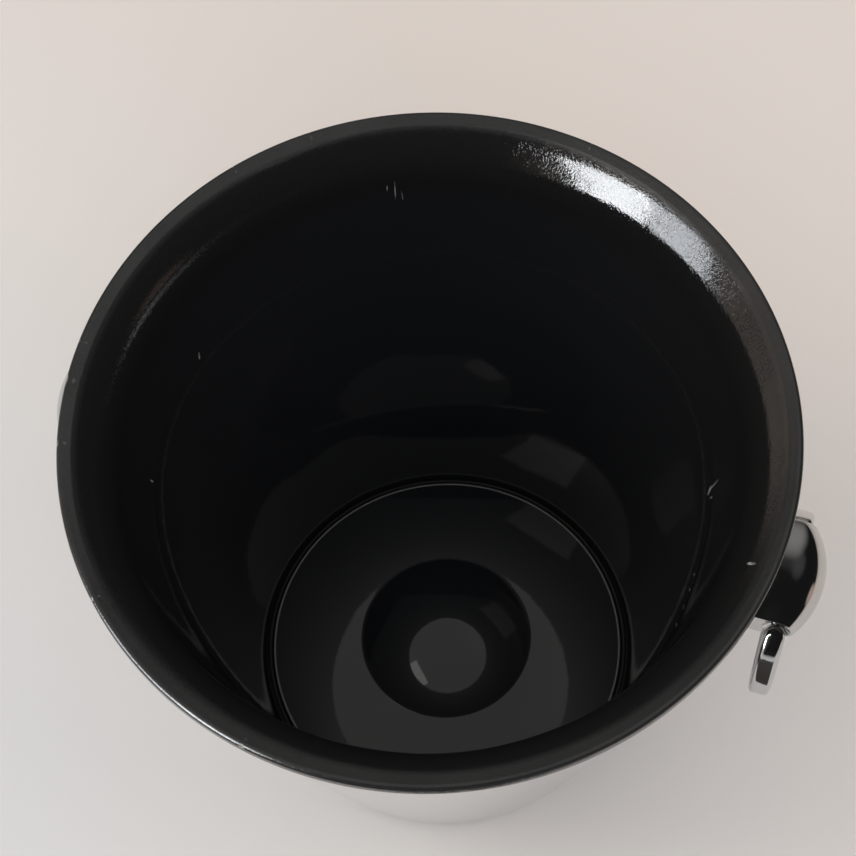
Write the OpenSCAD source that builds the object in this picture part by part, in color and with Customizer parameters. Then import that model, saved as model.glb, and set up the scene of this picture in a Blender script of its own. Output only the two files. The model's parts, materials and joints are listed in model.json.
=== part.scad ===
// Wine cooler: a double-walled bucket with two ring handles.
// A bright outer shell stands on its flat base. A thin dark liner hangs in it by its lip,
// which is hemmed over the shell's edge. Two cast lugs are screwed to the shell from the
// inside, and a ring swings in each of them.
// The origin is the middle of the base, on the surface that the bucket stands on.
// The lugs are on +X and -X.

/* [Bucket] */
// Outside diameter over the lip
rim_d = 210; // [204:1:212]
// Height from the table to the top of the lip
height = 188; // [184:1:196]
// Diameter of the flat that the shell stands on
foot_d = 113.4; // [106:0.2:115]
// Radius of the shell's bottom corner
base_corner = 10; // [8:0.5:10]
// Thickness of the shell's sheet
shell_t = 0.9; // [0.6:0.1:1]
// Width of the standing edge around the hollow of the base
foot_w = 6; // [3:0.5:10]
// Depth of the hollow of the base
foot_hollow = 1.2; // [0.5:0.1:2]

/* [Liner] */
// Thickness of the liner's sheet
liner_t = 0.9; // [0.6:0.1:1]
// Width of the lip's sloping top
lip_w = 4; // [3:0.1:5]
// Slope of the lip's top, down towards the mouth
lip_slope = 22; // [10:1:28]
// Rounding of the lip's outer edge
lip_round = 1.2; // [0.8:0.1:1.4]
// Height of the hem on the outside of the lip
hem_h = 4; // [3:0.1:6]
// Radius of the flare under the lip
flare_r = 24; // [18:1:30]
// Lean of the flare at the lip, from upright
flare_lean = 58; // [45:1:65]
// Height of the floor's crest above the table
floor_z = 11; // [10.9:0.1:14]
// Distance of the floor's raised edge inside the widest part of the shell's corner
floor_inset = 5.2; // [5.2:0.1:8]
// Radius of curvature of the crowned floor
crown_r = 120; // [120:5:200]
// Radius at the foot of the central dome
dome_foot_r = 30.5; // [30:0.5:35]
// Radius of curvature of the central dome
dome_r = 61; // [50:1:80]

/* [Handles] */
// Distance of the ring's pivot from the bucket's axis
pivot_x = 108; // [108:0.1:110]
// Height of the ring's pivot above the table
pivot_z = 147.5; // [140:0.5:150]
// Outside diameter of the ring
ring_d = 56.6; // [54:0.2:60]
// Thickness of the ring's bar, across the ring
ring_t = 4; // [3.6:0.1:4.2]
// Width of the ring's bar, along the ring's axis
ring_w = 6.4; // [5:0.1:6.6]
// Height of the pivot above the ring's centre
ring_drop = 19.8; // [19:0.1:20]
// Diameter of the ring's pivots
pivot_d = 3.3; // [3:0.1:3.3]
// Length of the lug
lug_l = 33; // [30:0.5:33]
// Radius of the lug about the pivot, at its middle
lug_mid_r = 10.4; // [9:0.1:11]
// Radius of the lug about the pivot, at its ends
lug_end_r = 5; // [4.8:0.1:6]

/* [Fixings] */
// Diameter of the lug screws
screw_d = 4; // [3:0.5:5]
// Length of the lug screws under the head
screw_l = 10; // [8:0.5:11]
// Angle of each screw from the lug's middle, about the bucket's axis
screw_angle = 5.5; // [5:0.1:6]

/* [Hidden] */
$fn = 96;

rim_r = rim_d / 2;
foot_r = foot_d / 2;
fit = 0.05;              // radial clearance of a turning or screwed fit
gap = 0.1;               // clearance between the shell's edge and the hem

// Lip: an arc rounds its outer edge, a sloping flat leads in to the mouth
lip_c = [rim_r - lip_round, height - lip_round];
lip_flat_end = lip_c + lip_round * [cos(90 + lip_slope), sin(90 + lip_slope)];
mouth = [rim_r - lip_w, lip_flat_end[1] - (lip_flat_end[0] - rim_r + lip_w) * tan(lip_slope)];
hem_z = height - hem_h;
shell_top = height - 2.4;

// Shell: its wall runs from the bottom corner to the hem, tangent to the corner
shell_top_r = rim_r - liner_t - gap;
corner_c = [foot_r, base_corner];
shell_span = [shell_top_r, shell_top] - corner_c;
shell_lean = acos(base_corner / norm(shell_span)) - atan2(shell_span[1], shell_span[0]);
hollow_r = foot_r - foot_w;

// Liner: dome, crowned floor, rounded edge, gutter, leaning wall and flare, each tangent to the next
dome_fillet = 3;
dome_angle = asin(dome_foot_r / (dome_r + dome_fillet));
dome_c = [0, floor_z + dome_fillet - (dome_r + dome_fillet) * cos(dome_angle)];
fillet_c = [dome_foot_r, floor_z + dome_fillet];
crown_c = [dome_foot_r, floor_z - crown_r];
disc_r = foot_r + base_corner - floor_inset;
crown_angle = asin((disc_r - dome_foot_r) / crown_r);
edge_round = 1.2;
edge_c = crown_c + (crown_r - edge_round) * [sin(crown_angle), cos(crown_angle)];
edge_end = 30;           // direction in which the rounded edge meets the gutter
gutter_r = 0.8;
gutter_c = edge_c + (edge_round + gutter_r) * [cos(edge_end), sin(edge_end)];
flare_c = mouth + flare_r * [cos(flare_lean), -sin(flare_lean)];
wall_span = flare_c - gutter_c;
wall_lean = acos((gutter_r + flare_r) / norm(wall_span)) - atan2(wall_span[1], wall_span[0]);

// Ring: a round bow whose two ends turn in to pivots, through small bends
bow_r = (ring_d - ring_t) / 2;
bend_r = 3;
bend_y = sqrt(pow(bow_r - bend_r, 2) - pow(ring_drop - bend_r, 2));
bow_angle = atan2(ring_drop - bend_r, bend_y);
bend_lap = 10;           // angle by which each bend starts inside the bow
bend_inset = 0.05;       // each bend is this much slimmer than the bow, on every side
bar_round = 1.4;
pivot_l = 10;            // length of each pivot
pivot_root = 0.4;        // how far each pivot runs into its bend

// Lug: its sides are arcs through the middle and end radii
lug_sag = lug_mid_r - lug_end_r;
lug_arc_r = (pow(lug_l / 2, 2) + pow(lug_sag, 2)) / (2 * lug_sag);
plate_t = 2;             // thickness of the lug's foot plate
plate_lap = 1.6;         // how far the foot plate stands out around the lug
mouth_r = 4.2;           // countersink at each end of the bore
mouth_l = 2.5;

// Screws stand square to the shell's wall, from the inside
seat_r = foot_r + base_corner / cos(shell_lean) + (pivot_z - base_corner) * tan(shell_lean);
seat_in_r = seat_r - shell_t / cos(shell_lean);
washer_d = 9;
washer_t = 0.8;
washer_hole_d = screw_d + 0.3;
washer_lift = seat_in_r - sqrt(pow(seat_in_r, 2) - pow(washer_d / 2, 2));
head_d = 8;
head_h = 2.4;
slot_w = 1;
slot_h = 1.1;

CHROME = [0.80, 0.81, 0.82];
BLACK = [0.05, 0.05, 0.05];
STEEL = [0.62, 0.62, 0.63];

// Points on an arc of radius r about c, from angle a0 to a1
function arc(c, r, a0, a1, n) = [
    for (i = [0:n]) let (a = a0 + (a1 - a0) * i / n) c + r * [cos(a), sin(a)]
];

function reversed(path) = [for (i = [len(path) - 1:-1:0]) path[i]];

// Shell's outer face with t = 0 and its inner face with t = shell_t, from the axis to the edge
function shell_path(t) = concat(
    [[0, foot_hollow + t], [hollow_r - foot_hollow, foot_hollow + t], [hollow_r + t, t]],
    arc(corner_c, base_corner - t, -90, -shell_lean, 16),
    [[shell_top_r - t / cos(shell_lean), shell_top]]
);

// Direction of the flare's upper end, on the cavity side or where its underside meets the hem
function flare_end(t) =
    t == 0 ? 180 - flare_lean : 180 - asin((shell_top - flare_c[1]) / (flare_r - t));

// Liner's cavity side with t = 0 and its underside with t = liner_t, from the axis to the lip
function liner_path(t) = concat(
    arc(dome_c, dome_r - t, 90, 90 - dome_angle, 16),
    arc(fillet_c, dome_fillet + t, 270 - dome_angle, 270, 6),
    arc(crown_c, crown_r - t, 90, 90 - crown_angle, 12),
    arc(edge_c, edge_round - t, 90 - crown_angle, edge_end, 5),
    arc(gutter_c, gutter_r + t, 180 + edge_end, 360 - wall_lean, 10),
    arc(flare_c, flare_r - t, 180 - wall_lean, flare_end(t), 20)
);

// Turns a module about the bucket's axis to the right (+X) or left (-X) side
module on_side(right) {
    rotate([0, 0, right ? 0 : 180]) children();
}

module outer_shell() {
    color(CHROME) difference() {
        rotate_extrude($fn = 180) polygon(concat(shell_path(0), reversed(shell_path(shell_t))));
        for (right = [true, false])
            on_side(right) at_screws() cylinder(d = washer_hole_d, h = 8, center = true);
    }
}

module liner() {
    lip = concat(
        reversed(arc(lip_c, lip_round, 0, 90 + lip_slope, 8)),
        [[rim_r, hem_z], [rim_r - liner_t, hem_z], [rim_r - liner_t, shell_top]]
    );
    color(BLACK) rotate_extrude($fn = 180)
        polygon(concat(liner_path(0), lip, reversed(liner_path(liner_t))));
}

// Places children at the two screws of the right lug, with +Z out along each screw
module at_screws() {
    for (side = [-1, 1])
        rotate([0, 0, side * screw_angle])
            translate([seat_in_r, 0, pivot_z])
                rotate([0, 90 + shell_lean, 0]) children();
}

// Outline of the lug as seen along X, grown by g
module lug_outline(g) {
    intersection() {
        translate([0, lug_mid_r - lug_arc_r]) circle(lug_arc_r + g, $fn = 180);
        translate([0, lug_arc_r - lug_mid_r]) circle(lug_arc_r + g, $fn = 180);
        square([lug_l + 2 * g, 4 * lug_mid_r], center = true);
    }
}

module lug() {
    difference() {
        union() {
            // Barrel about the pivot
            translate([pivot_x, 0, pivot_z]) rotate([90, 0, 0]) rotate_extrude()
                intersection() {
                    translate([lug_mid_r - lug_arc_r, 0]) circle(lug_arc_r, $fn = 180);
                    translate([0, -lug_l / 2]) square([lug_mid_r, lug_l]);
                }
            // Neck from the shell to the barrel
            translate([seat_r - 8, 0, pivot_z]) rotate([90, 0, 90])
                linear_extrude(pivot_x - seat_r + 8) lug_outline(0);
            // Foot plate, as curved as the shell
            intersection() {
                translate([seat_r - 8, 0, pivot_z]) rotate([90, 0, 90])
                    linear_extrude(16) lug_outline(plate_lap);
                shell_solid(plate_t);
            }
        }
        shell_solid(0);
        translate([pivot_x, 0, pivot_z]) rotate([90, 0, 0]) {
            cylinder(d = pivot_d + 2 * fit, h = lug_l + 2, center = true);
            for (end = [0, 180])
                rotate([end, 0, 0]) translate([0, 0, lug_l / 2 - mouth_l])
                    cylinder(r1 = pivot_d / 2 + fit, r2 = mouth_r, h = mouth_l);
        }
        at_screws() cylinder(d = screw_d + 2 * fit, h = screw_l - washer_t + 0.5);
    }
}

// Cone that fills the shell's wall, grown outwards by g
module shell_solid(g) {
    low = pivot_z - 30;
    high = pivot_z + 30;
    rotate_extrude($fn = 180) polygon([
        for (z = [low, high]) [seat_r + g + (z - pivot_z) * tan(shell_lean), z],
        [0, high],
        [0, low]
    ]);
}

// Section of the ring's bar, inset by g: flat faces with rounded corners
module bar_section(g) {
    x = ring_t / 2 - g - bar_round;
    y = ring_w / 2 - g - bar_round;
    polygon(concat(
        arc([x, y], bar_round, 0, 90, 5),
        arc([-x, y], bar_round, 90, 180, 5),
        arc([-x, -y], bar_round, 180, 270, 5),
        arc([x, -y], bar_round, 270, 360, 5)
    ));
}

module bar_arc(r, angle, g) {
    rotate_extrude(angle = angle) translate([r, 0]) bar_section(g);
}

module ring() {
    translate([pivot_x, 0, pivot_z - ring_drop]) rotate([90, 0, 90]) {
        rotate([0, 0, 180 - bow_angle]) bar_arc(bow_r, 180 + 2 * bow_angle, 0);
        for (side = [0, 1])
            mirror([side, 0, 0]) {
                translate([bend_y, ring_drop - bend_r, 0])
                    rotate([0, 0, bow_angle - bend_lap])
                        bar_arc(bend_r, 90 - bow_angle + bend_lap, bend_inset);
                translate([bend_y - pivot_l, ring_drop, 0]) rotate([0, 90, 0])
                    cylinder(d = pivot_d, h = pivot_l + pivot_root);
            }
    }
}

module lug_right() {
    color(CHROME) on_side(true) lug();
}

module lug_left() {
    color(CHROME) on_side(false) lug();
}

module ring_right() {
    color(CHROME) on_side(true) ring();
}

module ring_left() {
    color(CHROME) on_side(false) ring();
}

// Slotted pan-head screws
module lug_screws() {
    color(STEEL) for (right = [true, false])
        on_side(right) at_screws() translate([0, 0, -washer_lift - washer_t]) difference() {
            union() {
                cylinder(d = screw_d, h = screw_l);
                translate([0, 0, -head_h]) cylinder(d = head_d, h = head_h);
            }
            translate([0, 0, -head_h]) cube([slot_w, head_d + 2, 2 * slot_h], center = true);
        }
}

module lug_washers() {
    color(STEEL) for (right = [true, false])
        on_side(right) at_screws() translate([0, 0, -washer_lift - washer_t]) difference() {
            cylinder(d = washer_d, h = washer_t);
            translate([0, 0, -1]) cylinder(d = washer_hole_d, h = washer_t + 2);
        }
}

outer_shell();
liner();
lug_right();
lug_left();
ring_right();
ring_left();
lug_screws();
lug_washers();
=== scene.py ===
import json
import math

import bpy
from mathutils import Matrix, Vector


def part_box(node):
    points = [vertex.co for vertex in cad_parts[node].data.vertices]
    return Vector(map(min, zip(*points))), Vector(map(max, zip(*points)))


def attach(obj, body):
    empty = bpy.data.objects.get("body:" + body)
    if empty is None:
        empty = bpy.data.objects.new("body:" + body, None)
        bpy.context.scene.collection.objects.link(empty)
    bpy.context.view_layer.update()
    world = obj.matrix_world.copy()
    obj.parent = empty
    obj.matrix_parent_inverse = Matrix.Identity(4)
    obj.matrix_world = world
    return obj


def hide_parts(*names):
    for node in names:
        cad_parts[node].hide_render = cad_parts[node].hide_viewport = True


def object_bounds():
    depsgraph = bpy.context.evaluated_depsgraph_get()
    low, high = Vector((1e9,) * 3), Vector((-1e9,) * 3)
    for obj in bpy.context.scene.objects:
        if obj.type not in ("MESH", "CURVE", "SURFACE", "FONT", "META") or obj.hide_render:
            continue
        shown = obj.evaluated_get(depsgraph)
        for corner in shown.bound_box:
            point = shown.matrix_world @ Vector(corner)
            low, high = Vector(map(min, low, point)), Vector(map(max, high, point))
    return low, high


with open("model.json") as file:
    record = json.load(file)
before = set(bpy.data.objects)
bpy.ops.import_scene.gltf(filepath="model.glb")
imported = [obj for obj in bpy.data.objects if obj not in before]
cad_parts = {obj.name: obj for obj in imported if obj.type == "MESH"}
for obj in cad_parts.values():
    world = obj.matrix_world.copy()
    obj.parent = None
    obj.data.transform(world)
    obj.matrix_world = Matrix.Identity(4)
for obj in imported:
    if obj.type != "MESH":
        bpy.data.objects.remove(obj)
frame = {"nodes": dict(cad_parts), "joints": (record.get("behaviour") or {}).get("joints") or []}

# A plated double-walled bucket with a black enamelled liner and two ring handles.
# Lengths are in millimetres up to the point where a mesh is made, which turns them to metres.

MM = 0.001
CAD_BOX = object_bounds()

# ---------------------------------------------------------------- sizes of the object, from the frame

rim_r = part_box("liner")[1].y / MM
height = CAD_BOX[1].z / MM
lug_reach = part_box("lug_right")[1].x / MM
pivot_at = [j["pos_m"] for j in frame["joints"] if j["name"] == "ring_right_swing"][0]
pivot_x = pivot_at[0] / MM
pivot_z = pivot_at[2] / MM
ring_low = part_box("ring_right")[0]
ring_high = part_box("ring_right")[1]
ring_r = ring_high.y / MM
ring_w = (ring_high.x - ring_low.x) / MM
ring_centre_z = ring_low.z / MM + ring_r

# Sheet-metal and casting sizes that the boxes don't give
SHEET = 0.9              # both the shell's and the liner's sheet
LIP_W = 4.0
LIP_SLOPE = 22
LIP_ROUND = 1.2
HEM_H = 4.0
FLARE_R = 24.0
FLARE_LEAN = 58
FLOOR_Z = 11.0
DISC_R = 61.5
CROWN_R = 120.0
DOME_FOOT_R = 30.5
DOME_R = 61.0
DOME_FILLET = 3.0
EDGE_ROUND = 1.2
EDGE_END = 30            # degrees above level where the floor's edge turns into the gutter
GUTTER_R = 0.8
FOOT_R = 56.7
BASE_CORNER = 10.0
FOOT_W = 6.0
FOOT_HOLLOW = 1.2
HEM_GAP = 0.1
SHELL_TOP_DROP = 2.4     # from the lip's top down to the shell's edge, inside the hem
LUG_L = 33.0
LUG_END_R = 5.0
LUG_PLATE = 2.0
LUG_PLATE_LAP = 1.6
LUG_MOUTH_R = 4.2
LUG_MOUTH_L = 2.5
LUG_EDGE_ROUND = 0.6
PIVOT_R = 1.65
PIVOT_L = 10.0
PIVOT_FIT = 0.05
BAR_T = 4.0
BAR_ROUND = 1.8
BEND_R = 3.0

lug_mid_r = lug_reach - pivot_x
lug_sag = lug_mid_r - LUG_END_R
lug_arc_r = ((LUG_L / 2) ** 2 + lug_sag ** 2) / (2 * lug_sag)
ring_drop = pivot_z - ring_centre_z


# ---------------------------------------------------------------- camera

CAMERA_HEADING = 21.5    # degrees about the bucket, from straight in front
CAMERA_DOWN = 64.69      # degrees below the horizon
CAMERA_ROLL = -4.97
CAMERA_BACK = 2.459      # distance from the bucket's axis, in lip radii
CAMERA_UP = 5.183        # height above the lip, in lip radii
CAMERA_LENS = 90.16      # on a 36 mm sensor


def make_camera():
    data = bpy.data.cameras.new("camera")
    data.sensor_width = 36
    data.lens = CAMERA_LENS
    data.clip_end = 50
    camera = bpy.data.objects.new("camera", data)
    bpy.context.scene.collection.objects.link(camera)
    turn = Matrix.Rotation(math.radians(CAMERA_HEADING), 4, "Z")
    tilt = Matrix.Rotation(math.radians(90 - CAMERA_DOWN), 4, "X")
    roll = Matrix.Rotation(math.radians(CAMERA_ROLL), 4, "Z")
    place = Vector((0, -CAMERA_BACK * rim_r, height + CAMERA_UP * rim_r)) * MM
    camera.matrix_world = turn @ Matrix.Translation(place) @ tilt @ roll
    bpy.context.scene.camera = camera


make_camera()


# ---------------------------------------------------------------- mesh helpers

def direction(angle):
    return Vector((math.cos(math.radians(angle)), math.sin(math.radians(angle))))


def arc(centre, radius, start, end, step=0.8):
    """Points on an arc, about step millimetres apart and at most 4 degrees."""
    sweep = abs(end - start)
    count = max(3, math.ceil(math.radians(sweep) * radius / step), math.ceil(sweep / 4))
    angles = [start + (end - start) * i / count for i in range(count + 1)]
    return [Vector(centre) + radius * direction(angle) for angle in angles]


def line(a, b, step):
    """Points from a to b, without either end."""
    a, b = Vector(a), Vector(b)
    count = max(1, math.ceil((b - a).length / step))
    return [a.lerp(b, i / count) for i in range(1, count)]


def mesh_object(name, points, faces, body, material, nodes=()):
    """Makes a piece from points in millimetres, smooth-shaded, riding on its body."""
    data = bpy.data.meshes.new(name)
    data.from_pydata([Vector(p) * MM for p in points], [], faces)
    data.validate()
    data.shade_smooth()
    data.materials.append(material)
    piece = bpy.data.objects.new(name, data)
    bpy.context.scene.collection.objects.link(piece)
    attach(piece, body)
    if nodes:
        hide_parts(*nodes)
    return piece


def face_outward(data):
    """Turns a closed mesh's normals outward if its signed volume shows that it is inside out."""
    volume = 0.0
    for face in data.polygons:
        corners = [data.vertices[v].co for v in face.vertices]
        for a, b in zip(corners[1:], corners[2:]):
            volume += corners[0].dot(a.cross(b))
    if volume < 0:
        data.flip_normals()


def revolved(profile, segments):
    """Points and faces of a closed profile of (radius, height) turned about Z.

    Its ends may lie on the axis."""
    points, rings = [], []
    for r, z in profile:
        if r < 1e-6:
            rings.append([len(points)] * segments)
            points.append((0, 0, z))
            continue
        rings.append(list(range(len(points), len(points) + segments)))
        for k in range(segments):
            angle = 2 * math.pi * k / segments
            points.append((r * math.cos(angle), r * math.sin(angle), z))
    faces = []
    for low, high in zip(rings, rings[1:] + rings[:1]):
        for k in range(segments):
            n = (k + 1) % segments
            face = [low[k], low[n], high[n], high[k]]
            face = [v for i, v in enumerate(face) if v not in face[:i]]
            if len(face) > 2:
                faces.append(face)
    return points, faces


def tangent_lean(span, offset):
    """Lean from upright of a wall that keeps offset from both ends of span."""
    return math.degrees(math.acos(offset / span.length) - math.atan2(span.y, span.x))


# ---------------------------------------------------------------- outlines of the two skins

lip_c = Vector((rim_r - LIP_ROUND, height - LIP_ROUND))
lip_flat_end = lip_c + LIP_ROUND * direction(90 + LIP_SLOPE)
mouth_drop = (lip_flat_end.x - rim_r + LIP_W) * math.tan(math.radians(LIP_SLOPE))
mouth = Vector((rim_r - LIP_W, lip_flat_end.y - mouth_drop))
hem_z = height - HEM_H
shell_top = height - SHELL_TOP_DROP
shell_top_r = rim_r - SHEET - HEM_GAP

corner_c = Vector((FOOT_R, BASE_CORNER))
shell_lean = tangent_lean(Vector((shell_top_r, shell_top)) - corner_c, BASE_CORNER)
shell_tan = math.tan(math.radians(shell_lean))
shell_cos = math.cos(math.radians(shell_lean))

dome_angle = math.degrees(math.asin(DOME_FOOT_R / (DOME_R + DOME_FILLET)))
dome_c = Vector((0, FLOOR_Z + DOME_FILLET - (DOME_R + DOME_FILLET) * math.cos(math.radians(dome_angle))))
fillet_c = Vector((DOME_FOOT_R, FLOOR_Z + DOME_FILLET))
crown_c = Vector((DOME_FOOT_R, FLOOR_Z - CROWN_R))
crown_angle = math.degrees(math.asin((DISC_R - DOME_FOOT_R) / CROWN_R))
edge_c = crown_c + (CROWN_R - EDGE_ROUND) * direction(90 - crown_angle)
gutter_c = edge_c + (EDGE_ROUND + GUTTER_R) * direction(EDGE_END)
flare_c = mouth + FLARE_R * direction(-FLARE_LEAN)
wall_lean = tangent_lean(flare_c - gutter_c, GUTTER_R + FLARE_R)


def liner_side(t):
    """The liner's cavity side with t = 0 and its underside with t = SHEET, from the axis to the lip."""
    flare_end = 180 - FLARE_LEAN
    if t:
        flare_end = 180 - math.degrees(math.asin((shell_top - flare_c.y) / (FLARE_R - t)))
    gutter = arc(gutter_c, GUTTER_R + t, 180 + EDGE_END, 360 - wall_lean, 0.2)
    flare = arc(flare_c, FLARE_R - t, 180 - wall_lean, flare_end, 0.6)
    return (
        arc(dome_c, DOME_R - t, 90, 90 - dome_angle)
        + arc(fillet_c, DOME_FILLET + t, 270 - dome_angle, 270, 0.25)[1:]
        + arc(crown_c, CROWN_R - t, 90, 90 - crown_angle)[1:]
        + arc(edge_c, EDGE_ROUND - t, 90 - crown_angle, EDGE_END, 0.15)[1:]
        + gutter[1:]
        + line(gutter[-1], flare[0], 4)
        + flare
    )


def liner_outline():
    top = liner_side(0)
    top[0].x = 0
    under = liner_side(SHEET)
    under[0].x = 0
    lip_top = line(mouth, lip_flat_end, 0.4) + arc(lip_c, LIP_ROUND, 90 + LIP_SLOPE, 0, 0.15)
    hem_round = SHEET / 2
    hem_c = Vector((rim_r - hem_round, hem_z + hem_round))
    hem = arc(hem_c, hem_round, 0, -180, 0.12) + [Vector((rim_r - SHEET, shell_top))]
    return top + lip_top + hem + under[::-1]


def shell_side(t):
    """The shell's outer face with t = 0 and its inner face with t = SHEET, from the axis to the edge."""
    middle = Vector((0, FOOT_HOLLOW + t))
    inner = Vector((FOOT_R - FOOT_W - FOOT_HOLLOW, FOOT_HOLLOW + t))
    # The hollow's edge is a soft S from the hollow down to the foot
    bend = []
    for i in range(11):
        along = i / 10
        fall = (1 - math.cos(math.pi * along)) / 2
        bend.append(inner + Vector(((fall + along) / 2, -fall)) * FOOT_HOLLOW)
    corner = arc(corner_c, BASE_CORNER - t, -90, -shell_lean, 0.5)
    top = Vector((shell_top_r - t / shell_cos, shell_top))
    return [middle] + line(middle, inner, 6) + bend + corner + line(corner[-1], top, 4) + [top]


def make_liner(material):
    points, faces = revolved(liner_outline(), 360)
    return mesh_object("liner_enamelled", points, faces, "bucket", material, ["liner"])


def make_shell(material):
    points, faces = revolved(shell_side(0) + shell_side(SHEET)[::-1], 288)
    return mesh_object("shell_plated", points, faces, "bucket", material, ["outer_shell"])


# ---------------------------------------------------------------- lugs

def lug_half(y, grow=0.0):
    """Half the lug's height at y, on an outline grown by grow."""
    return math.sqrt((lug_arc_r + grow) ** 2 - y ** 2) - (lug_arc_r - lug_mid_r)


def wall_x(y, z, out=0.0):
    """Where the shell's outer wall is at y and z, or a wall out millimetres outside it."""
    r = FOOT_R + BASE_CORNER / shell_cos + (z - BASE_CORNER) * shell_tan + out
    return math.sqrt(r ** 2 - y ** 2)


def lug_section(y):
    """The lug cut across at y, from the wall over the top, round the nose and back below: (x, z)."""
    half = lug_half(y)
    sides = 10               # steps along the flat over and under the barrel
    nose = 28                # steps round the barrel
    top = wall_x(y, pivot_z + half)
    low = wall_x(y, pivot_z - half)
    over = [(top + (pivot_x - top) * i / sides, pivot_z + half) for i in range(sides)]
    round_nose = [
        (pivot_x + half * math.sin(math.pi * i / nose), pivot_z + half * math.cos(math.pi * i / nose))
        for i in range(nose + 1)
    ]
    under = [(low + (pivot_x - low) * i / sides, pivot_z - half) for i in range(sides)]
    back = [(wall_x(y, pivot_z + half * k / 5), pivot_z + half * k / 5) for k in range(-4, 5)]
    return over + round_nose + under[::-1] + back


def lug_body():
    """The barrel and neck, with a through bore and a countersunk mouth at each end."""
    stations = [LUG_L / 2 * math.sin(math.pi / 2 * t / 14) for t in range(-14, 15)]
    sections = [lug_section(y) for y in stations]
    count = len(sections[0])
    points = [(x, y, z) for y, s in zip(stations, sections) for x, z in s]
    faces = []
    for row in range(len(stations) - 1):
        for k in range(count):
            n = (k + 1) % count
            a, b = row * count, (row + 1) * count
            faces.append((a + k, a + n, b + n, b + k))
    # End faces and bore: rings about the pivot, lined up with the section's points
    bore_r = PIVOT_R + PIVOT_FIT
    rings = [
        (-LUG_L / 2, LUG_MOUTH_R), (LUG_MOUTH_L - LUG_L / 2, bore_r),
        (LUG_L / 2 - LUG_MOUTH_L, bore_r), (LUG_L / 2, LUG_MOUTH_R),
    ]
    bearing = [math.atan2(z - pivot_z, x - pivot_x) for x, z in sections[0]]
    previous = 0
    for y, r in rings:
        start = len(points)
        points += [(pivot_x + r * math.cos(a), y, pivot_z + r * math.sin(a)) for a in bearing]
        faces += [
            (previous + (k + 1) % count, previous + k, start + k, start + (k + 1) % count)
            for k in range(count)
        ]
        previous = start
    last = (len(stations) - 1) * count
    faces += [
        (previous + (k + 1) % count, previous + k, last + k, last + (k + 1) % count)
        for k in range(count)
    ]
    return points, faces


def lug_plate():
    """The foot plate, as curved as the shell."""
    lap = LUG_PLATE_LAP
    ys = [(LUG_L / 2 + lap) * t / 12 for t in range(-12, 13)]
    zs = [t / 8 for t in range(-8, 9)]
    points = []
    for out in (0.0, LUG_PLATE):
        for y in ys:
            half = lug_half(y, lap)
            for t in zs:
                z = pivot_z + half * t
                points.append((wall_x(y, z, out), y, z))
    columns = len(zs)
    layer = len(ys) * columns
    faces = []
    for i in range(len(ys) - 1):
        for j in range(columns - 1):
            a = i * columns + j
            faces.append((a, a + 1, a + columns + 1, a + columns))
            faces.append((layer + a, layer + a + columns, layer + a + columns + 1, layer + a + 1))
    edge = (
        [i * columns for i in range(len(ys))]
        + [(len(ys) - 1) * columns + j for j in range(1, columns)]
        + [i * columns + columns - 1 for i in range(len(ys) - 2, -1, -1)]
        + [j for j in range(columns - 2, 0, -1)]
    )
    for k, a in enumerate(edge):
        b = edge[(k + 1) % len(edge)]
        faces.append((a, b, layer + b, layer + a))
    return points, faces


def round_edges(piece, width):
    """Rounds a casting's sharp edges, as polishing does."""
    bevel = piece.modifiers.new("rounded_edges", "BEVEL")
    bevel.width = width * MM
    bevel.segments = 4
    bevel.limit_method = "ANGLE"
    bevel.angle_limit = math.radians(35)
    bevel.harden_normals = True
    return piece


def on_left(points):
    """The same piece on the other side of the bucket."""
    return [(-x, -y, z) for x, y, z in points]


def make_lug(side, material):
    points, faces = lug_body()
    plate_points, plate_faces = lug_plate()
    faces = faces + [tuple(v + len(points) for v in f) for f in plate_faces]
    points = points + plate_points
    if side == "left":
        points = on_left(points)
    piece = mesh_object("lug_cast_" + side, points, faces, "bucket", material, ["lug_" + side])
    face_outward(piece.data)
    round_edges(piece, LUG_EDGE_ROUND)
    return piece


# ---------------------------------------------------------------- rings

def bar_section(half_t, half_w, corner, count=32):
    """Points round a bar: flat faces with rounded corners, as (across the ring, along its axis)."""
    points = []
    for k in range(count):
        a = 2 * math.pi * (k + 0.5) / count
        c, s = math.cos(a), math.sin(a)
        points.append((
            math.copysign(half_t - corner, c) + corner * c,
            math.copysign(half_w - corner, s) + corner * s,
        ))
    return points


def ring_path():
    """Stations along half of the ring, from its lowest point to a pivot's end.

    Each is (y, z, direction across the bar in degrees, share of the way from the bow's bar
    to the pivot's)."""
    bow_r = ring_r - BAR_T / 2
    bend_y = math.sqrt((bow_r - BEND_R) ** 2 - (ring_drop - BEND_R) ** 2)
    bow_end = math.degrees(math.atan2(ring_drop - BEND_R, bend_y))
    path = []
    bow_steps = 60
    for i in range(bow_steps + 1):
        a = -90 + (bow_end + 90) * i / bow_steps
        y, z = bow_r * direction(a)
        path.append((y, z, a, 0.0))
    bend_steps = 10
    for i in range(1, bend_steps + 1):
        a = bow_end + (90 - bow_end) * i / bend_steps
        y, z = Vector((bend_y, ring_drop - BEND_R)) + BEND_R * direction(a)
        path.append((y, z, a, (i / bend_steps) ** 1.5 * 0.9))
    for along in (0.25, 0.5, 1.0, PIVOT_L * 0.5, PIVOT_L - 0.4, PIVOT_L - 0.12, PIVOT_L):
        path.append((bend_y - along, ring_drop, 90, 1.0))
    return path


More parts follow.
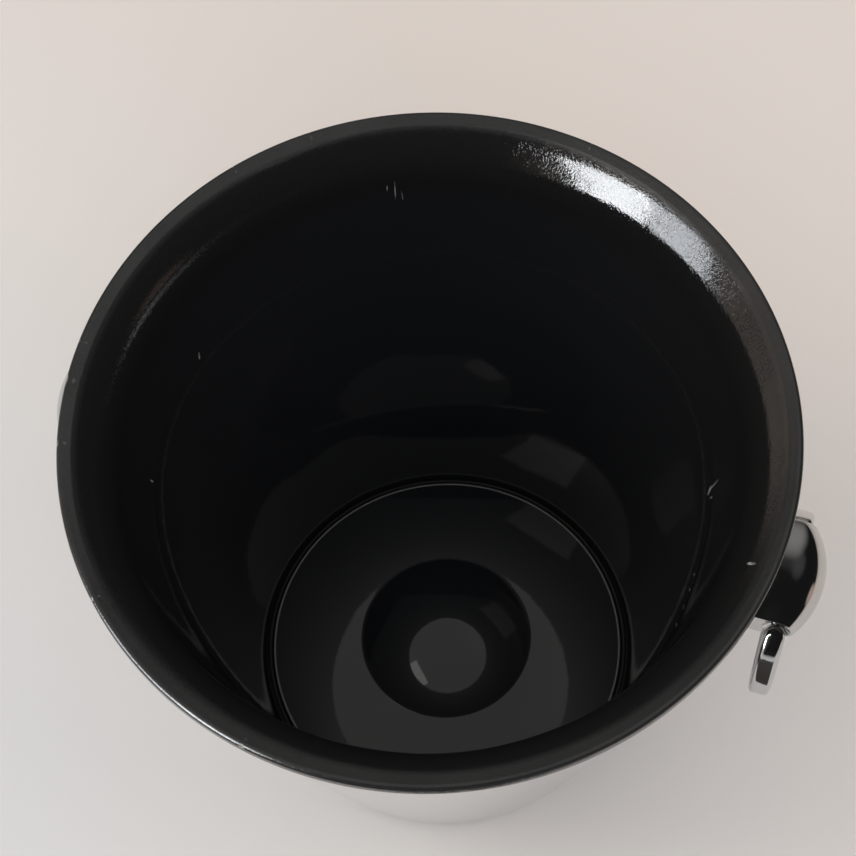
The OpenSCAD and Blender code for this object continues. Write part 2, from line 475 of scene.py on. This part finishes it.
def make_ring(side, material):
    half = ring_path()
    full = [(-y, z, 180 - a, s) for y, z, a, s in half[:0:-1]] + half
    points, faces = [], []
    bow = bar_section(BAR_T / 2, ring_w / 2, BAR_ROUND)
    pivot = bar_section(PIVOT_R, PIVOT_R, PIVOT_R)
    count = len(bow)
    for i, (y, z, a, share) in enumerate(full):
        across = direction(a)
        # The pivots' ends are slightly rounded
        from_end = min(i, len(full) - 1 - i)
        shrink = (0.75, 0.92, 1.0)[min(from_end, 2)]
        for (b_across, b_along), (p_across, p_along) in zip(bow, pivot):
            u = (b_across * (1 - share) + p_across * share) * shrink
            v = (b_along * (1 - share) + p_along * share) * shrink
            points.append((pivot_x + v, y + u * across.x, ring_centre_z + z + u * across.y))
    for i in range(len(full) - 1):
        for k in range(count):
            n = (k + 1) % count
            faces.append((i * count + k, i * count + n, (i + 1) * count + n, (i + 1) * count + k))
    faces.append(tuple(range(count)))
    faces.append(tuple(range(len(points) - count, len(points)))[::-1])
    if side == "left":
        points = on_left(points)
    body = "handle_" + side
    piece = mesh_object("ring_bent_" + side, points, faces, body, material, ["ring_" + side])
    face_outward(piece.data)
    return piece


# ---------------------------------------------------------------- materials

MULTIPLY = {"operation": "MULTIPLY"}
MULTIPLY_ADD = {"operation": "MULTIPLY_ADD"}
MAXIMUM = {"operation": "MAXIMUM"}
LENGTH = {"operation": "LENGTH"}
COLOUR_MIX = {"data_type": "RGBA"}
SMOOTH = {"interpolation_type": "SMOOTHSTEP"}


def srgb(code):
    """Linear colour from an sRGB hex code."""
    parts = [int(code[i:i + 2], 16) / 255 for i in (1, 3, 5)]
    return tuple(c / 12.92 if c <= 0.04045 else ((c + 0.055) / 1.055) ** 2.4 for c in parts) + (1,)


def new_material(name):
    """A material with an empty node tree, and the place on the piece that its patterns follow."""
    material = bpy.data.materials.new(name)
    material.use_nodes = True
    tree = material.node_tree
    tree.nodes.clear()
    return material, tree, add(tree, "ShaderNodeTexCoord").outputs["Object"]


def add(tree, kind, settings=None, inputs=None):
    """Adds a node, with its settings, and with values or links on its inputs.

    A node links by its first output."""
    node = tree.nodes.new(kind)
    for key, value in (settings or {}).items():
        setattr(node, key, value)
    for key, value in (inputs or {}).items():
        if isinstance(value, bpy.types.Node):
            value = value.outputs[0]
        if isinstance(value, bpy.types.NodeSocket):
            tree.links.new(value, node.inputs[key])
        else:
            node.inputs[key].default_value = value
    return node


def per_mm(size):
    """Texture scale that makes a pattern about size millimetres across, in metres."""
    return 1 / (size * MM)


def fine_scratches(tree, place, spacing, length, turns):
    """Hairline scratches: noise stretched along several directions, the strongest of them kept."""
    strongest = 0.0
    for turn in turns:
        laid = add(tree, "ShaderNodeMapping", inputs={
            "Vector": place,
            "Rotation": [math.radians(a) for a in turn],
            "Scale": (per_mm(spacing), per_mm(spacing), per_mm(length)),
        })
        noise = add(tree, "ShaderNodeTexNoise", inputs={"Vector": laid, "Scale": 1, "Detail": 1})
        one_way = add(tree, "ShaderNodeMapRange", inputs={
            "Value": noise, "From Min": 0.61, "From Max": 0.69,
        })
        strongest = add(tree, "ShaderNodeMath", MAXIMUM, {0: strongest, 1: one_way})
    return strongest


def scuff(tree, place, centre, depth, width, length, azimuth, lean):
    """An oval mark: 1 in its middle and 0 outside its depth, width and length."""
    laid = add(tree, "ShaderNodeMapping", {"vector_type": "TEXTURE"}, {
        "Vector": place,
        "Location": centre * MM,
        "Rotation": (math.radians(lean), 0, math.radians(azimuth)),
        "Scale": (depth * MM, width / 2 * MM, length / 2 * MM),
    })
    away = add(tree, "ShaderNodeVectorMath", LENGTH, {0: laid}).outputs["Value"]
    return add(tree, "ShaderNodeMapRange", inputs={
        "Value": away, "From Min": 0.5, "From Max": 1.0, "To Min": 1.0, "To Max": 0.0,
    })


# Scuffed dents in the enamel, each partly bared steel and partly a painted glint where the dent catches
# light: azimuth and height of each mark, its length and width, and its lean from upright
SCUFFS_AND_GLINTS = [
    (18.9, 137.5, 12.0, 0.6, 6),
    (19.3, 131.5, 7.0, 1.6, -6),
    (17.4, 132.5, 4.0, 0.7, 15),
    (4.6, 114.8, 3.6, 0.8, 25),
    (1.6, 112.2, 5.6, 0.7, 38),
    (-2.0, 109.5, 4.4, 0.8, 42),
    (-5.8, 106.8, 5.4, 0.8, 40),
    (-8.2, 184.2, 2.6, 1.1, 0),
    (113.9, 168.6, 9.0, 0.35, 2),
    (112.6, 166.0, 5.0, 0.25, -3),
    (115.4, 170.2, 3.0, 0.3, 4),
    (164.7, 144.0, 3.5, 0.8, 15),
    (193.9, 142.0, 4.0, 0.7, -12),
]
MARK_DEPTH = 3.0
# Azimuth and length along the lip of each chip on its outer edge
LIP_CHIPS = [
    (199, 3.0), (188, 5.0), (127, 2.2), (79, 2.0),
    (259, 2.4), (181, 1.6), (141, 1.4), (226, 1.8),
]
LIP_CHIP_H = 1.4


def wall_radius(z):
    """Radius of the liner's cavity side at height z, on its wall or flare."""
    flare_from = flare_c.y + FLARE_R * math.sin(math.radians(wall_lean))
    if z > flare_from:
        return flare_c.x - math.sqrt(FLARE_R ** 2 - (z - flare_c.y) ** 2)
    foot = gutter_c.x + GUTTER_R * math.cos(math.radians(wall_lean))
    return foot + (z - gutter_c.y) * math.tan(math.radians(wall_lean))


def bare_steel_and_glint_marks(tree, place):
    """How far the enamel is gone: 1 in a scuff or a chip, broken up by a fine grain; on the scuffs the
    pale grey is partly a painted glint.
    """
    ovals = [
        (azimuth, Vector((*wall_radius(z) * direction(azimuth), z)), width, length, lean)
        for azimuth, z, length, width, lean in SCUFFS_AND_GLINTS
    ]
    ovals += [
        (azimuth, Vector((*rim_r * direction(azimuth), lip_c.y + 0.5)), along, LIP_CHIP_H, 0)
        for azimuth, along in LIP_CHIPS
    ]
    marks = 0.0
    for azimuth, centre, width, length, lean in ovals:
        mark = scuff(tree, place, centre, MARK_DEPTH, width, length, azimuth, lean)
        marks = add(tree, "ShaderNodeMath", MAXIMUM, {0: marks, 1: mark})
    grain = add(tree, "ShaderNodeTexNoise", inputs={"Vector": place, "Scale": per_mm(0.5), "Detail": 2})
    broken = add(tree, "ShaderNodeMapRange", inputs={"Value": grain, "From Min": 0.36, "From Max": 0.52})
    return add(tree, "ShaderNodeMath", MULTIPLY, {0: marks, 1: broken})


def enamel_colour(tree, worn, bare_and_glint, height_of, off_axis):
    """Black, lifted a shade below the flare as painted light for the glare deep inside, with painted
    shade in the gutter, a painted highlight line along the floor's edge, a rubbed lip and marks of bared
    steel that are partly painted glints.

    Also gives how far a place is in the gutter and how far it is on the rubbed lip."""
    # Painted light: below the flare the black is lifted a shade and cooled, standing in for glare and
    # light bouncing round the deep inside
    glare_lift = add(tree, "ShaderNodeMath", MULTIPLY_ADD, {0: worn, 1: -1.0, 2: 1.0})
    colour = add(tree, "ShaderNodeMix", COLOUR_MIX, {0: glare_lift, 6: srgb("#191919"), 7: srgb("#1C1D1F")})
    # Painted shade: the gutter round the floor is coloured near black, for the shade in its depth
    past_floor = add(tree, "ShaderNodeMath", {"operation": "GREATER_THAN"}, {
        0: off_axis, 1: (DISC_R - 0.2) * MM,
    })
    low_down = add(tree, "ShaderNodeMapRange", inputs={
        "Value": height_of, "From Min": (gutter_c.y + 0.1) * MM, "From Max": (gutter_c.y + 1.6) * MM,
        "To Min": 1.0, "To Max": 0.0,
    })
    in_gutter = add(tree, "ShaderNodeMath", MULTIPLY, {0: low_down, 1: past_floor})
    # Painted highlight: a thin light line along the floor's rounded edge, where the edge catches light
    past_edge = add(tree, "ShaderNodeMath", {"operation": "SUBTRACT"}, {
        0: off_axis, 1: (DISC_R - 0.1) * MM,
    })
    off_edge = add(tree, "ShaderNodeMath", {"operation": "ABSOLUTE"}, {0: past_edge})
    near_edge = add(tree, "ShaderNodeMapRange", inputs={
        "Value": off_edge, "From Min": 0.15 * MM, "From Max": 0.45 * MM, "To Min": 1.0, "To Max": 0.0,
    })
    at_floor = add(tree, "ShaderNodeMapRange", inputs={
        "Value": height_of, "From Min": (FLOOR_Z - 0.2) * MM, "From Max": (FLOOR_Z + 0.6) * MM,
        "To Min": 1.0, "To Max": 0.0,
    })
    edge_highlight_line = add(tree, "ShaderNodeMath", MULTIPLY, {0: near_edge, 1: at_floor})
    # Hands and bottles have rubbed the lip satin
    rubbed = add(tree, "ShaderNodeMapRange", SMOOTH, {
        "Value": height_of, "From Min": (height - 2.6) * MM, "From Max": (height - 1.2) * MM,
    })
    # Pale steel shows in the chips and scuffs; on the scuffs the pale grey is partly a painted glint
    layers = [(in_gutter, "#050504"), (edge_highlight_line, "#767672"), (rubbed, "#242424"), (bare_and_glint, "#A3A19C")]
    for share, over in layers:
        colour = add(tree, "ShaderNodeMix", COLOUR_MIX, {0: share, 6: colour.outputs[2], 7: srgb(over)})
    return colour.outputs[2], in_gutter, rubbed


def enamel_relief(tree, place, worn, cut, bare_and_glint):
    """Enamel pulls into a shallow orange peel as it cools, with a finer wrinkle on the flare."""
    peel = add(tree, "ShaderNodeTexNoise", inputs={"Vector": place, "Scale": per_mm(7), "Detail": 1})
    soft = add(tree, "ShaderNodeBump", inputs={"Strength": 1, "Distance": 0.02 * MM, "Height": peel})
    wrinkle = add(tree, "ShaderNodeTexNoise", inputs={
        "Vector": place, "Scale": per_mm(1.7), "Detail": 2, "Distortion": 0.8,
    })
    relief = add(tree, "ShaderNodeMath", MULTIPLY, {0: wrinkle, 1: worn})
    relief = add(tree, "ShaderNodeMath", MULTIPLY_ADD, {0: cut, 1: -0.25, 2: relief})
    relief = add(tree, "ShaderNodeMath", MULTIPLY_ADD, {0: bare_and_glint, 1: -2.0, 2: relief})
    return add(tree, "ShaderNodeBump", inputs={
        "Strength": 1, "Distance": 0.035 * MM, "Height": relief, "Normal": soft,
    })


def dulled_gloss(tree, place, worn):
    """Hair-thin dull streaks in patches, which show as dark hatching where the flare is bright."""
    turns = [(0, 0, 10), (30, 8, 40), (-35, 0, 70), (75, 30, 0), (70, -25, 20)]
    streaks = fine_scratches(tree, place, 0.35, 5, turns)
    where = add(tree, "ShaderNodeTexNoise", inputs={"Vector": place, "Scale": per_mm(16), "Detail": 3})
    patchy = add(tree, "ShaderNodeMapRange", inputs={
        "Value": where, "From Min": 0.35, "From Max": 0.6, "To Min": 0.25, "To Max": 1.0,
    })
    dull = add(tree, "ShaderNodeMath", MULTIPLY, {0: streaks, 1: patchy})
    dull = add(tree, "ShaderNodeMath", MULTIPLY, {0: dull, 1: worn})
    return add(tree, "ShaderNodeMath", MULTIPLY_ADD, {0: dull, 1: -0.36, 2: 0.5})


def vitreous_enamel():
    """Black glass fired on steel: hard even gloss, wrinkled and scratched on the flare, with the steel
    showing in chips.
    """
    material, tree, place = new_material("vitreous_enamel_fired_black")
    height_of = add(tree, "ShaderNodeSeparateXYZ", inputs={0: place}).outputs["Z"]
    flat = add(tree, "ShaderNodeVectorMath", MULTIPLY, {0: place, 1: (1, 1, 0)})
    off_axis = add(tree, "ShaderNodeVectorMath", LENGTH, {0: flat}).outputs["Value"]
    # The flare takes the wear: nearly none below it and all of it near the lip
    worn = add(tree, "ShaderNodeMapRange", SMOOTH, {
        "Value": height_of, "From Min": (height - 26) * MM, "From Max": (height - 10) * MM,
        "To Min": 0.10, "To Max": 1.0,
    })
    turns = [(0, 0, 0), (62, 15, 0), (-58, 0, 25), (85, 40, 0), (80, -35, 10)]
    scratches = fine_scratches(tree, place, 0.7, 14, turns)
    cut = add(tree, "ShaderNodeMath", MULTIPLY, {0: scratches, 1: worn})
    # Dried water leaves a faint, patchy film
    film_noise = add(tree, "ShaderNodeTexNoise", inputs={
        "Vector": place, "Scale": per_mm(6), "Detail": 4, "Roughness": 0.65, "Distortion": 0.8,
    })
    film = add(tree, "ShaderNodeMapRange", inputs={
        "Value": film_noise, "From Min": 0.42, "From Max": 0.66,
    })
    worn_film = add(tree, "ShaderNodeMath", MULTIPLY, {0: film, 1: worn})
    bare_and_glint = bare_steel_and_glint_marks(tree, place)
    colour, in_gutter, rubbed = enamel_colour(tree, worn, bare_and_glint, height_of, off_axis)
    # Fired enamel is almost mirror smooth, and each kind of wear adds its own roughness, as does the
    # gutter painted dark for shade
    rough = 0.03
    for share, more in ((worn_film, 0.035), (cut, 0.06), (in_gutter, 0.6), (rubbed, 0.12), (bare_and_glint, 0.35)):
        rough = add(tree, "ShaderNodeMath", MULTIPLY_ADD, {0: share, 1: more, 2: rough})
    shader = add(tree, "ShaderNodeBsdfPrincipled", inputs={
        "Base Color": colour, "Roughness": rough, "IOR": 1.5,
        "Specular IOR Level": dulled_gloss(tree, place, worn),
        "Normal": enamel_relief(tree, place, worn, cut, bare_and_glint),
    })
    add(tree, "ShaderNodeOutputMaterial", inputs={"Surface": shader})
    return material


def mirror_chromium(name, base, rough, scratch_size, waviness):
    """Chromium plate over polished metal: mirror-bright, faintly cool, blurred a little by wipe marks."""
    material, tree, place = new_material(name)
    scratches = fine_scratches(tree, place, scratch_size, 14, [(0, 0, 0), (70, 20, 0), (-64, 0, 30)])
    smear = add(tree, "ShaderNodeTexNoise", inputs={
        "Vector": place, "Scale": per_mm(18), "Detail": 3, "Distortion": 0.5,
    })
    smeared = add(tree, "ShaderNodeMath", MULTIPLY_ADD, {0: smear, 1: rough, 2: rough * 0.5})
    roughness = add(tree, "ShaderNodeMath", MULTIPLY_ADD, {0: scratches, 1: 0.07, 2: smeared})
    wave = add(tree, "ShaderNodeTexNoise", inputs={
        "Vector": place, "Scale": per_mm(waviness), "Detail": 1,
    })
    bump = add(tree, "ShaderNodeBump", inputs={"Strength": 0.1, "Distance": 0.05 * MM, "Height": wave})
    shader = add(tree, "ShaderNodeBsdfPrincipled", inputs={
        "Base Color": srgb(base), "Metallic": 1.0, "Roughness": roughness, "Normal": bump,
    })
    add(tree, "ShaderNodeOutputMaterial", inputs={"Surface": shader})
    return material


def zinc_plate():
    """Bright zinc on steel fixings: grey, satin, slightly mottled."""
    material, tree, place = new_material("zinc_plated_steel")
    mottle = add(tree, "ShaderNodeTexNoise", inputs={"Vector": place, "Scale": per_mm(1.2), "Detail": 3})
    colour = add(tree, "ShaderNodeMix", COLOUR_MIX, {0: mottle, 6: srgb("#A9ACAF"), 7: srgb("#C6C6C0")})
    roughness = add(tree, "ShaderNodeMapRange", inputs={"Value": mottle, "To Min": 0.25, "To Max": 0.45})
    shader = add(tree, "ShaderNodeBsdfPrincipled", inputs={
        "Base Color": colour.outputs[2], "Metallic": 1.0, "Roughness": roughness,
    })
    add(tree, "ShaderNodeOutputMaterial", inputs={"Surface": shader})
    return material


def painted_table():
    """Pale matt paint, neutral near by; a shade warmer at the back and the right as painted light, for
    warm light falling there from the room.
    """
    material, tree, place = new_material("table_matt_paint")
    axes = add(tree, "ShaderNodeSeparateXYZ", inputs={0: place}).outputs
    along = add(tree, "ShaderNodeMath", MULTIPLY_ADD, {0: axes["X"], 1: 0.4, 2: axes["Y"]})
    drift = add(tree, "ShaderNodeTexNoise", inputs={"Vector": place, "Scale": 3, "Detail": 1})
    back = add(tree, "ShaderNodeMath", MULTIPLY_ADD, {0: drift, 1: 0.1, 2: along})
    # Painted light: the warm bounce from the room, stronger towards the back and the right
    warm_bounce = add(tree, "ShaderNodeMapRange", inputs={"Value": back, "From Min": -0.12, "From Max": 0.25})
    colour = add(tree, "ShaderNodeMix", COLOUR_MIX, {0: warm_bounce, 6: srgb("#E7E7E6"), 7: srgb("#E8E0D9")})
    shader = add(tree, "ShaderNodeBsdfPrincipled", inputs={
        "Base Color": colour.outputs[2], "Roughness": 0.6,
    })
    add(tree, "ShaderNodeOutputMaterial", inputs={"Surface": shader})
    return material


def dark_felt():
    """Dark pressed-wool felt: little light comes back, a shade more where the pile stands up."""
    material, tree, place = new_material("felt_pressed_wool")
    pile = add(tree, "ShaderNodeTexNoise", inputs={"Vector": place, "Scale": per_mm(2), "Detail": 2})
    colour = add(tree, "ShaderNodeMix", COLOUR_MIX, {0: pile, 6: srgb("#4A4644"), 7: srgb("#5A5552")})
    shader = add(tree, "ShaderNodeBsdfDiffuse", inputs={"Color": colour.outputs[2], "Roughness": 1.0})
    add(tree, "ShaderNodeOutputMaterial", inputs={"Surface": shader})
    return material


# ---------------------------------------------------------------- studio, in metres

def toward(azimuth, elevation):
    """Direction from the bucket to a place in the room."""
    flat = direction(azimuth) * math.cos(math.radians(elevation))
    return Vector((flat.x, flat.y, math.sin(math.radians(elevation))))


def make_card(name, left, right, front, back, z, heading, material):
    """A flat four-sided sheet of the stage, turned about the bucket's axis."""
    data = bpy.data.meshes.new(name)
    flat = [(left, front, z), (right, front, z), (right, back, z), (left, back, z)]
    turn = Matrix.Rotation(math.radians(heading), 4, "Z")
    data.from_pydata([turn @ Vector(corner) for corner in flat], [], [(0, 1, 2, 3)])
    data.materials.append(material)
    card = bpy.data.objects.new(name, data)
    bpy.context.scene.collection.objects.link(card)
    return card


def make_flag():
    """A dark card on the table's front edge, out of the frame, which only glossy surfaces see."""
    flag = make_card("dark_flag", -0.35, 0.10, -0.9, -0.155, 0.001, CAMERA_HEADING, dark_felt())
    flag.visible_camera = False
    flag.visible_diffuse = False
    flag.visible_shadow = False


def make_softbox(name, azimuth, elevation, distance, width, tall, radiance, colour):
    """A soft light panel that faces the bucket's mouth."""
    light = bpy.data.lights.new(name, "AREA")
    light.shape = "RECTANGLE"
    light.size = width
    light.size_y = tall
    light.energy = radiance * math.pi * width * tall
    light.color = srgb(colour)[:3]
    lamp = bpy.data.objects.new(name, light)
    bpy.context.scene.collection.objects.link(lamp)
    target = Vector((0, 0, height * MM))
    lamp.location = target + distance * toward(azimuth, elevation)
    lamp.rotation_euler = (lamp.location - target).to_track_quat("Z", "Y").to_euler()
    return lamp


# Where the room is lighter, as the bucket sees it: azimuth, elevation, the angles from there inside
# which it is full and outside which it is nothing, its radiance and its colour
ROOM_BASE = 0.012
ROOM_PATCHES = [
    (205, 10, 34, 60, 0.80, "#FFEEDF"),     # the window's side
    (100, 28, 6, 38, 0.27, "#FFFAF6"),      # far wall
    (55, 58, 4, 24, 0.05, "#FFFFFF"),       # edge of the ceiling
    (4, 0, 5, 13, 0.55, "#FFDCC8"),         # pale doorway, low down
]


def make_room_light():
    """Dark room with a pale side, a far wall and a doorway."""
    world = bpy.data.worlds.new("room")
    bpy.context.scene.world = world
    world.use_nodes = True
    tree = world.node_tree
    tree.nodes.clear()
    away = add(tree, "ShaderNodeTexCoord").outputs["Generated"]
    glow = (ROOM_BASE, ROOM_BASE, ROOM_BASE)
    for azimuth, elevation, inner, outer, radiance, colour in ROOM_PATCHES:
        nearness = add(tree, "ShaderNodeVectorMath", {"operation": "DOT_PRODUCT"}, {
            0: away, 1: toward(azimuth, elevation),
        })
        patch = add(tree, "ShaderNodeMapRange", SMOOTH, {
            "Value": nearness.outputs["Value"],
            "From Min": math.cos(math.radians(outer)), "From Max": math.cos(math.radians(inner)),
        })
        tint = [radiance * c for c in srgb(colour)[:3]]
        glow = add(tree, "ShaderNodeVectorMath", MULTIPLY_ADD, {0: patch, 1: tint, 2: glow})
    background = add(tree, "ShaderNodeBackground", inputs={"Color": glow})
    add(tree, "ShaderNodeOutputWorld", inputs={"Surface": background})


def light_only(name, panels, pieces):
    """Makes light panels reflect in these pieces alone, and light nothing else."""
    lit = bpy.data.collections.new(name)
    for piece in pieces:
        lit.objects.link(piece)
    for panel in panels:
        panel.visible_diffuse = False
        panel.light_linking.receiver_collection = lit


def make_studio(liner, shell, fittings):
    """The table, the room, panels that only glossy surfaces see, and fills that reflect in nothing."""
    make_card("table", -6, 6, -6, 6, 0, 0, painted_table())
    make_flag()
    make_room_light()
    window = [
        make_softbox("window_near_pane", 236, 21, 2.2, 0.78, 1.6, 24, "#F8FCFF"),
        make_softbox("window_far_pane", 215, 21, 2.2, 0.72, 1.6, 12, "#F2F8FF"),
    ]
    light_only("reflects_window", window, [liner] + fittings)
    skylight = make_softbox("skylight", 256, 42, 2.2, 0.35, 0.7, 7, "#F8FCFF")
    light_only("reflects_skylight", [skylight], fittings)
    # The shell sees the window dimmer, so that it throws no bright patches on the table
    curtained = [
        make_softbox("curtained_near_pane", 236, 21, 2.2, 0.78, 1.6, 2.0, "#F8FCFF"),
        make_softbox("curtained_far_pane", 215, 21, 2.2, 0.72, 1.6, 1.4, "#F2F8FF"),
    ]
    light_only("reflects_curtained_window", curtained, [shell])
    ceiling = [
        make_softbox("ceiling_panel", 100, 84, 1.9, 2.7, 2.7, 0.56, "#FFFDFA"),
        make_softbox("ceiling_lamp", 222, 61, 1.8, 0.6, 0.45, 1.3, "#FFFDFA"),
    ]
    light_only("reflects_ceiling", ceiling, [liner])
    fills = [
        make_softbox("window_fill", 195, 35, 1.5, 0.8, 0.8, 2.2, "#FFFDFA"),
        make_softbox("doorway_fill", 10, 35, 2.0, 1.2, 1.2, 1.7, "#FFEDE2"),
        make_softbox("front_fill", 290, 42, 2.4, 2.0, 2.0, 1.4, "#F4F8FF"),
        make_softbox("overhead_fill", 90, 89, 2.4, 5.0, 5.0, 0.85, "#FAFCFF"),
    ]
    for panel in fills:
        panel.visible_glossy = False
    bpy.context.scene.view_settings.view_transform = "Standard"


# ---------------------------------------------------------------- the bucket

liner = make_liner(vitreous_enamel())
shell = make_shell(mirror_chromium("chromium_on_polished_shell", "#C6C8C9", 0.035, 0.5, 25))
lug_plating = mirror_chromium("chromium_on_cast_lug", "#C4C5C5", 0.05, 0.3, 2.5)
ring_plating = mirror_chromium("chromium_on_bent_bar", "#C4C5C5", 0.06, 0.3, 3)
fittings = []
for side in ("right", "left"):
    fittings.append(make_lug(side, lug_plating))
    fittings.append(make_ring(side, ring_plating))
zinc = zinc_plate()
for name in ("lug_screws", "lug_washers"):
    node = frame["nodes"][name]
    node.data.materials.clear()
    node.data.materials.append(zinc)
make_studio(liner, shell, fittings)
